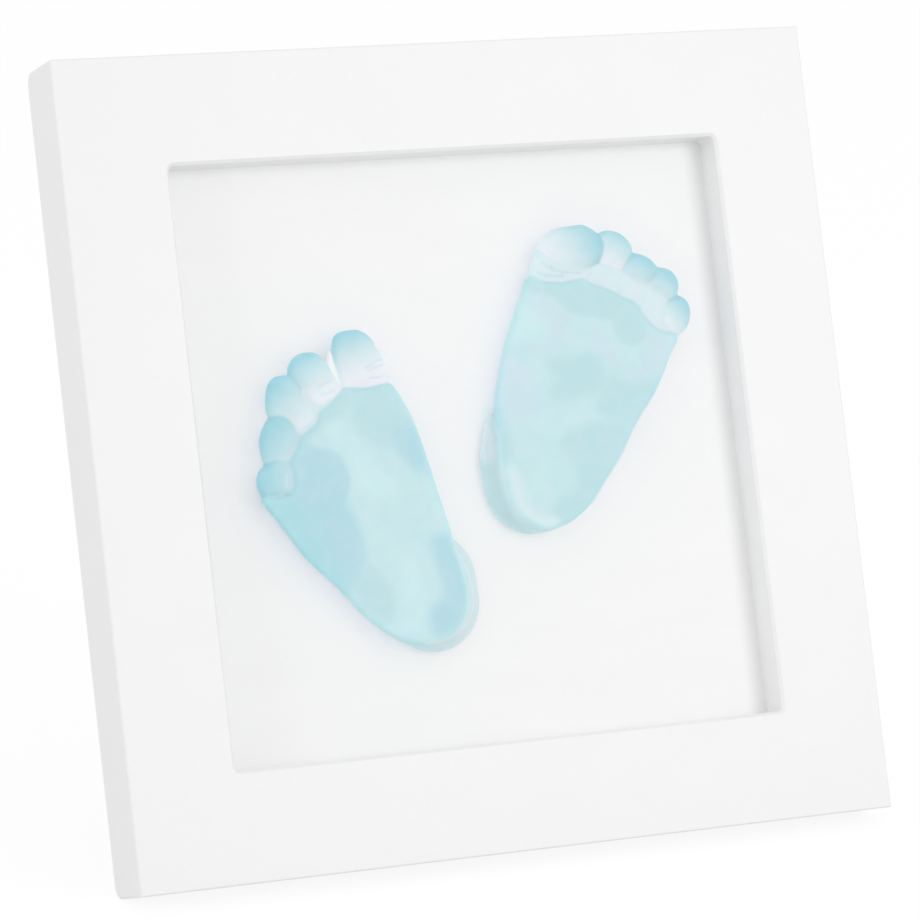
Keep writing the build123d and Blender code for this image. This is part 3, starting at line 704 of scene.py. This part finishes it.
def paint(mesh, colours):
    """Keeps a colour on every vertex, for the resin to read."""
    layer = mesh.color_attributes.new("resin", "FLOAT_COLOR", "POINT")
    with_alpha = np.column_stack([colours, np.ones(len(colours))])
    layer.data.foreach_set("color", with_alpha.astype(np.float32).ravel())


def foot_cast(foot, material):
    """One cast as a closed mesh on its foam pads, with its painted colours."""
    field = CastField(foot)
    grid = np.stack(np.meshgrid(*(field.axis(i) for i in range(3)), indexing="ij"), axis=-1)
    values = field(grid.reshape(-1, 3)).reshape(grid.shape[:3])
    points, quads = skin_over(values, field.low, CAST_STEP)
    points = settle(field, points, quads)
    across, along, rise = points.T
    places = np.array(CARD_MIDDLE) + MM * (
        np.outer(across, RIGHT) + np.outer(along, UP) - np.outer(rise + CAST_LIFT, BACK)
    )
    mesh = bpy.data.meshes.new(foot.name + "_sculpted")
    mesh.from_pydata(places.tolist(), [], quads.tolist())
    mesh.shade_smooth()
    paint(mesh, resin_colours(foot, field, points))
    mesh.materials.append(material)
    cast = bpy.data.objects.new(foot.name + "_sculpted", mesh)
    bpy.context.scene.collection.objects.link(cast)
    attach(cast, "frame")
    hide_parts(foot.name + "_cast")


# Small helpers for shader nodes
def fill(tree, node, inputs):
    """Sets a node's inputs; an input that is given a socket is linked to it."""
    for name, value in inputs.items():
        if isinstance(value, bpy.types.NodeSocket):
            tree.links.new(value, node.inputs[name])
        else:
            node.inputs[name].default_value = value


def put(tree, kind, inputs=None, **settings):
    """A new shader node with its settings and inputs."""
    made = tree.nodes.new("ShaderNode" + kind)
    for name, value in settings.items():
        setattr(made, name, value)
    fill(tree, made, inputs or {})
    return made


def maths(tree, operation, first, second):
    """The result of an operation on two values."""
    return put(tree, "Math", {0: first, 1: second}, operation=operation).outputs[0]


def mixed(tree, share, first, second):
    """A mix of two colours."""
    made = put(tree, "Mix", {0: share, 6: first, 7: second}, data_type="RGBA")
    return made.outputs[2]


def between(tree, value, low, high, out_low=0.0, out_high=1.0):
    """A value mapped from one span to another, held at its ends."""
    made = put(tree, "MapRange", {0: value, 1: low, 2: high, 3: out_low, 4: out_high})
    return made.outputs[0]


def spread(tree, mask, low, high):
    """A mask from 0 to 1 turned into values between two others."""
    return between(tree, mask, 0.0, 1.0, low, high)


def grey(level):
    """A neutral colour."""
    return (level, level, level, 1.0)


def from_srgb(red, green, blue):
    """A colour written as screen levels from 0 to 255."""
    levels = [c / 255 for c in (red, green, blue)]
    return tuple(c / 12.92 if c < 0.04045 else ((c + 0.055) / 1.055) ** 2.4 for c in levels) + (1.0,)


def new_group(name, inputs, outputs):
    """An empty node group with number inputs and the named outputs."""
    tree = bpy.data.node_groups.new(name, "ShaderNodeTree")
    for label, value in inputs.items():
        socket = tree.interface.new_socket(label, in_out="INPUT", socket_type="NodeSocketFloat")
        socket.default_value = value
    for label in outputs:
        tree.interface.new_socket(label, in_out="OUTPUT", socket_type="NodeSocketFloat")
    return tree, tree.nodes.new("NodeGroupInput"), tree.nodes.new("NodeGroupOutput")


def fine_grain_group():
    """Two sizes of soft noise: a height for bumps and a mask for colour and gloss."""
    tree, given, result = new_group("fine_grain", {"Scale": 800.0, "Stretch": 1.0}, ["Height", "Mask"])
    place = put(tree, "TexCoord").outputs["Object"]
    stretch = put(tree, "CombineXYZ", {0: given.outputs["Stretch"], 1: 1.0, 2: 1.0}).outputs[0]
    place = put(tree, "VectorMath", {0: place, 1: stretch}, operation="MULTIPLY").outputs[0]
    fine = put(tree, "TexNoise", {"Vector": place, "Scale": given.outputs["Scale"], "Detail": 3.0})
    broad_scale = maths(tree, "MULTIPLY", given.outputs["Scale"], 0.06)
    broad = put(tree, "TexNoise", {"Vector": place, "Scale": broad_scale, "Detail": 4.0})
    tree.links.new(fine.outputs[0], result.inputs["Height"])
    fine_share = maths(tree, "MULTIPLY", fine.outputs[0], 0.4)
    broad_share = maths(tree, "MULTIPLY", broad.outputs[0], 0.6)
    both = maths(tree, "ADD", fine_share, broad_share)
    tree.links.new(between(tree, both, 0.35, 0.65), result.inputs["Mask"])
    return tree


def edge_wear_group():
    """A mask along outer and inner edges, broken up by noise."""
    tree, given, result = new_group("edge_wear", {"Width": 0.0006, "Breakup": 0.5}, ["Mask"])
    rounded = put(tree, "Bevel", {"Radius": given.outputs["Width"]}, samples=6).outputs[0]
    plain = put(tree, "NewGeometry").outputs["Normal"]
    likeness = put(tree, "VectorMath", {0: rounded, 1: plain}, operation="DOT_PRODUCT").outputs["Value"]
    edge = between(tree, likeness, 0.99, 0.80)
    place = put(tree, "TexCoord").outputs["Object"]
    noise = put(tree, "TexNoise", {"Vector": place, "Scale": 350.0, "Detail": 4.0}).outputs[0]
    missing = maths(tree, "SUBTRACT", 1.0, between(tree, noise, 0.35, 0.6))
    lost = maths(tree, "MULTIPLY", given.outputs["Breakup"], missing)
    kept = maths(tree, "SUBTRACT", 1.0, lost)
    tree.links.new(maths(tree, "MULTIPLY", edge, kept), result.inputs["Mask"])
    return tree


def dust_group():
    """A thin uneven film on surfaces that face up."""
    tree, given, result = new_group("settled_dust", {"Amount": 0.2}, ["Mask"])
    facing = put(tree, "NewGeometry").outputs["Normal"]
    upward = put(tree, "SeparateXYZ", {0: facing}).outputs["Z"]
    place = put(tree, "TexCoord").outputs["Object"]
    noise = put(tree, "TexNoise", {"Vector": place, "Scale": 120.0, "Detail": 6.0}).outputs[0]
    film = maths(tree, "MULTIPLY", between(tree, upward, 0.4, 0.95), between(tree, noise, 0.3, 0.75))
    tree.links.new(maths(tree, "MULTIPLY", film, given.outputs["Amount"]), result.inputs["Mask"])
    return tree


FINE_GRAIN = fine_grain_group()
EDGE_WEAR = edge_wear_group()
SETTLED_DUST = dust_group()


def use(tree, group, **inputs):
    """A shared effect placed in a material with its own values."""
    made = tree.nodes.new("ShaderNodeGroup")
    made.node_tree = group
    for name, value in inputs.items():
        made.inputs[name].default_value = value
    return made.outputs


def new_material(name):
    """A material with an empty Principled surface."""
    material = bpy.data.materials.new(name)
    material.use_nodes = True
    tree = material.node_tree
    return material, tree, tree.nodes["Principled BSDF"]


def bumped(tree, height, strength, distance):
    """A normal that follows a height."""
    return put(tree, "Bump", {"Height": height, "Strength": strength, "Distance": distance}).outputs[0]


def let_light_through(tree, surface, tint):
    """Lamps shine through the surface with a tint, while it stays solid to look at."""
    shadow_ray = put(tree, "LightPath").outputs["Is Shadow Ray"]
    clear = put(tree, "BsdfTransparent", {"Color": tint}).outputs[0]
    either = put(tree, "MixShader", {0: shadow_ray, 1: surface.outputs[0], 2: clear}).outputs[0]
    tree.links.new(either, tree.nodes["Material Output"].inputs["Surface"])


# Colours of the finishes, as linear light, and how strong the resin's own cloud is
DUST_ON_WHITE = (0.70, 0.69, 0.67, 1.0)
DUST_ON_METAL = (0.55, 0.53, 0.50, 1.0)
DARK_FIBRE = (0.36, 0.235, 0.135, 1.0)
LIGHT_FIBRE = (0.45, 0.31, 0.19, 1.0)
PALE_FLECK = (0.60, 0.45, 0.30, 1.0)
DARK_FLECK = (0.18, 0.11, 0.065, 1.0)
CUT_FIBRE = (0.20, 0.125, 0.07, 1.0)
DARK_ZINC = (0.50, 0.51, 0.53, 1.0)
LIGHT_ZINC = (0.64, 0.65, 0.67, 1.0)
RUBBED_ZINC = (0.80, 0.80, 0.81, 1.0)
DARK_STEEL = (0.58, 0.58, 0.59, 1.0)
LIGHT_STEEL = (0.70, 0.70, 0.70, 1.0)
RUBBED_STEEL = (0.84, 0.84, 0.83, 1.0)
RESIN_GLOW = (0.93, 0.965, 0.995, 1.0)
RESIN_CLOUD = 0.13


def white_lacquer():
    """Sprayed satin lacquer with a faint orange peel."""
    material, tree, surface = new_material("white_lacquer")
    peel = use(tree, FINE_GRAIN, Scale=1100.0)
    dust = use(tree, SETTLED_DUST, Amount=0.06)
    lacquer = mixed(tree, peel["Mask"], grey(0.86), grey(0.88))
    lacquer = mixed(tree, dust["Mask"], lacquer, DUST_ON_WHITE)
    fill(tree, surface, {
        "Base Color": lacquer,
        "Roughness": spread(tree, peel["Mask"], 0.34, 0.44),
        "Normal": bumped(tree, peel["Height"], 0.12, 0.0002),
    })
    return material


def white_card():
    """Uncoated card with short pressed fibres."""
    material, tree, surface = new_material("white_card")
    fibre = use(tree, FINE_GRAIN, Scale=1500.0, Stretch=0.35)
    paper = mixed(tree, fibre["Mask"], grey(0.925), grey(0.94))
    fill(tree, surface, {
        "Base Color": paper,
        "Roughness": spread(tree, fibre["Mask"], 0.85, 0.95),
        "Normal": bumped(tree, fibre["Height"], 0.15, 0.00015),
        "Specular IOR Level": 0.2,
    })
    return material


def bare_fibreboard():
    """Pressed wood fibre: tan with dark and light flecks, darker on cut edges."""
    material, tree, surface = new_material("bare_fibreboard")
    grain = use(tree, FINE_GRAIN, Scale=900.0)
    edge = use(tree, EDGE_WEAR, Width=0.0012, Breakup=0.3)
    place = put(tree, "TexCoord").outputs["Object"]
    fleck = put(tree, "TexVoronoi", {"Vector": place, "Scale": 2600.0}).outputs["Color"]
    fleck = put(tree, "SeparateColor", {0: fleck}).outputs[0]
    board = mixed(tree, grain["Mask"], DARK_FIBRE, LIGHT_FIBRE)
    board = mixed(tree, between(tree, fleck, 0.80, 0.95, 0.0, 0.35), board, PALE_FLECK)
    board = mixed(tree, between(tree, fleck, 0.16, 0.04, 0.0, 0.35), board, DARK_FLECK)
    board = mixed(tree, maths(tree, "MULTIPLY", edge["Mask"], 0.45), board, CUT_FIBRE)
    fill(tree, surface, {
        "Base Color": board,
        "Roughness": spread(tree, grain["Mask"], 0.62, 0.8),
        "Normal": bumped(tree, grain["Height"], 0.3, 0.0002),
    })
    return material


def white_foam():
    """Closed-cell foam dots."""
    material, tree, surface = new_material("white_foam")
    place = put(tree, "TexCoord").outputs["Object"]
    cells = put(tree, "TexVoronoi", {"Vector": place, "Scale": 3000.0}).outputs["Distance"]
    foam = mixed(tree, between(tree, cells, 0.0, 0.6), grey(0.78), grey(0.88))
    fill(tree, surface, {
        "Base Color": foam,
        "Roughness": 0.9,
        "Normal": bumped(tree, cells, 0.4, 0.0002),
    })
    return material


def zinc_plate():
    """Zinc-plated sheet with soft spangles, rolling lines and brighter rubbed edges."""
    material, tree, surface = new_material("zinc_plate")
    lines = use(tree, FINE_GRAIN, Scale=1600.0, Stretch=0.08)
    edge = use(tree, EDGE_WEAR, Width=0.0005, Breakup=0.6)
    dust = use(tree, SETTLED_DUST, Amount=0.12)
    place = put(tree, "TexCoord").outputs["Object"]
    spangle = put(tree, "TexVoronoi", {"Vector": place, "Scale": 420.0}).outputs["Color"]
    spangle = put(tree, "SeparateColor", {0: spangle}).outputs[0]
    plate = mixed(tree, spangle, DARK_ZINC, LIGHT_ZINC)
    plate = mixed(tree, maths(tree, "MULTIPLY", edge["Mask"], 0.6), plate, RUBBED_ZINC)
    plate = mixed(tree, dust["Mask"], plate, DUST_ON_METAL)
    line_gloss = maths(tree, "MULTIPLY", lines["Mask"], 0.08)
    gloss = maths(tree, "ADD", spread(tree, spangle, 0.28, 0.42), line_gloss)
    fill(tree, surface, {
        "Base Color": plate,
        "Metallic": 1.0,
        "Roughness": gloss,
        "Normal": bumped(tree, lines["Height"], 0.12, 0.0001),
    })
    return material


def bright_steel():
    """Plated steel of rivets, screws, nails and pin, with fine turning marks."""
    material, tree, surface = new_material("bright_steel")
    marks = use(tree, FINE_GRAIN, Scale=2400.0, Stretch=0.2)
    edge = use(tree, EDGE_WEAR, Width=0.0003, Breakup=0.4)
    steel = mixed(tree, marks["Mask"], DARK_STEEL, LIGHT_STEEL)
    steel = mixed(tree, maths(tree, "MULTIPLY", edge["Mask"], 0.5), steel, RUBBED_STEEL)
    fill(tree, surface, {
        "Base Color": steel,
        "Metallic": 1.0,
        "Roughness": spread(tree, marks["Mask"], 0.2, 0.34),
        "Normal": bumped(tree, marks["Height"], 0.08, 0.0001),
    })
    return material


def turquoise_resin():
    """Frosted, milky resin in the colours painted on each cast, with a little cloud of its own."""
    material, tree, surface = new_material("turquoise_resin")
    frost = use(tree, FINE_GRAIN, Scale=1300.0)
    place = put(tree, "TexCoord").outputs["Object"]
    noise = {"Vector": place, "Scale": 160.0, "Detail": 5.0, "Distortion": 0.6}
    drift = put(tree, "TexNoise", noise).outputs[0]
    painted = put(tree, "Attribute", attribute_name="resin").outputs["Color"]
    milky = between(tree, drift, 0.45, 0.7, 0.0, RESIN_CLOUD)
    deep = between(tree, drift, 0.5, 0.3, 0.0, RESIN_CLOUD)
    resin = mixed(tree, milky, painted, from_srgb(*MILKY_TINT))
    resin = mixed(tree, deep, resin, from_srgb(*DEEP_TINT))
    fill(tree, surface, {
        "Base Color": resin,
        "Roughness": spread(tree, frost["Mask"], 0.45, 0.6),
        "Subsurface Weight": 1.0,
        "Subsurface Radius": (0.6, 0.9, 1.0),
        "Subsurface Scale": 0.002,
        "Specular IOR Level": 0.35,
        "Normal": bumped(tree, frost["Height"], 0.06, 0.0002),
    })
    let_light_through(tree, surface, RESIN_GLOW)
    return material


FINISHES = {
    "white_lacquer": white_lacquer,
    "white_card": white_card,
    "bare_fibreboard": bare_fibreboard,
    "white_foam": white_foam,
    "zinc_plate": zinc_plate,
    "bright_steel": bright_steel,
    "turquoise_resin": turquoise_resin,
}
materials = {slot: make() for slot, make in FINISHES.items()}


def dress_nodes():
    """Gives every CAD node the finish of its material slot."""
    for node in frame["nodes"].values():
        for place in node.material_slots:
            place.material = materials[place.material.name.split(".")[0]]


# Studio: white surroundings, a pale floor, a soft lamp from the upper right and a fill from the left
Lamp = namedtuple("Lamp", "name direction size power")
SKY_LIGHT = 0.76
FLOOR_TONE = 0.8
FLOOR_GLOW = 0.90
FLOOR_SHADE = 0.12
FLOOR_SIZE = 6.0
LAMP_DISTANCE = 1.4
LAMPS = [
    Lamp("soft_key", Vector((0.387, -0.857, 0.336)), 0.6, 4.6),
    Lamp("side_fill", Vector((-0.97, -0.18, 0.15)), 0.8, 3.5),
]


def seen_directly(tree):
    """1 for rays that show a surface to the camera, straight, mirrored or through glass."""
    path = put(tree, "LightPath").outputs
    seen = maths(tree, "MAXIMUM", path["Is Camera Ray"], path["Is Glossy Ray"])
    return maths(tree, "MAXIMUM", seen, path["Is Transmission Ray"])


def white_world():
    """White all round; what lights the object is a little dimmer than what shows."""
    world = bpy.data.worlds.new("studio")
    bpy.context.scene.world = world
    world.use_nodes = True
    tree = world.node_tree
    background = tree.nodes["Background"]
    background.inputs["Color"].default_value = grey(1.0)
    strength = spread(tree, seen_directly(tree), SKY_LIGHT, 1.0)
    tree.links.new(strength, background.inputs["Strength"])


def pale_floor():
    """A floor that shows white and keeps a faint shadow of the object."""
    material = bpy.data.materials.new("pale_floor")
    material.use_nodes = True
    tree = material.node_tree
    tree.nodes.clear()
    plain = put(tree, "BsdfDiffuse", {"Color": grey(FLOOR_TONE)}).outputs[0]
    faint = put(tree, "BsdfDiffuse", {"Color": grey(FLOOR_SHADE)}).outputs[0]
    glow = put(tree, "Emission", {"Color": grey(1.0), "Strength": FLOOR_GLOW}).outputs[0]
    shown = put(tree, "AddShader", {0: faint, 1: glow}).outputs[0]
    either = put(tree, "MixShader", {0: seen_directly(tree), 1: plain, 2: shown}).outputs[0]
    put(tree, "OutputMaterial", {"Surface": either})
    half = FLOOR_SIZE / 2
    mesh = bpy.data.meshes.new("floor")
    corners = [(-half, -half, 0), (half, -half, 0), (half, half, 0), (-half, half, 0)]
    mesh.from_pydata(corners, [], [(0, 1, 2, 3)])
    mesh.materials.append(material)
    floor = bpy.data.objects.new("floor", mesh)
    bpy.context.scene.collection.objects.link(floor)


def softbox(lamp):
    """A square softbox that faces the frame."""
    light = bpy.data.lights.new(lamp.name, "AREA")
    light.size = lamp.size
    light.energy = lamp.power
    box = bpy.data.objects.new(lamp.name, light)
    bpy.context.scene.collection.objects.link(box)
    box.location = FACE_MIDDLE + lamp.direction.normalized() * LAMP_DISTANCE
    box.rotation_euler = (-lamp.direction).to_track_quat("-Z", "Y").to_euler()


# Camera: the photograph's viewpoint, aimed at a point on the face
CAMERA_AZIMUTH = math.radians(23.278)
CAMERA_ELEVATION = math.radians(11.267)
CAMERA_DISTANCE = 1109.19 * MM
CAMERA_LENS = 177.56
SENSOR_WIDTH = 36.0
AIM_RIGHT = -6.43 * MM
AIM_UP = -3.51 * MM


def photo_camera():
    """A long lens from the left, a little above."""
    level = math.cos(CAMERA_ELEVATION)
    looking = Vector((
        math.sin(CAMERA_AZIMUTH) * level,
        math.cos(CAMERA_AZIMUTH) * level,
        -math.sin(CAMERA_ELEVATION),
    ))
    lens = bpy.data.cameras.new("photo_camera")
    lens.lens = CAMERA_LENS
    lens.sensor_width = SENSOR_WIDTH
    camera = bpy.data.objects.new("photo_camera", lens)
    bpy.context.scene.collection.objects.link(camera)
    aim = FACE_MIDDLE + RIGHT * AIM_RIGHT + UP * AIM_UP
    camera.location = aim - looking * CAMERA_DISTANCE
    camera.rotation_euler = looking.to_track_quat("-Z", "Y").to_euler()
    bpy.context.scene.camera = camera


dress_nodes()
for foot in (RIGHT_FOOT, LEFT_FOOT):
    foot_cast(foot, materials["turquoise_resin"])
white_world()
pale_floor()
for lamp in LAMPS:
    softbox(lamp)
photo_camera()
bpy.context.scene.view_settings.view_transform = "Standard"
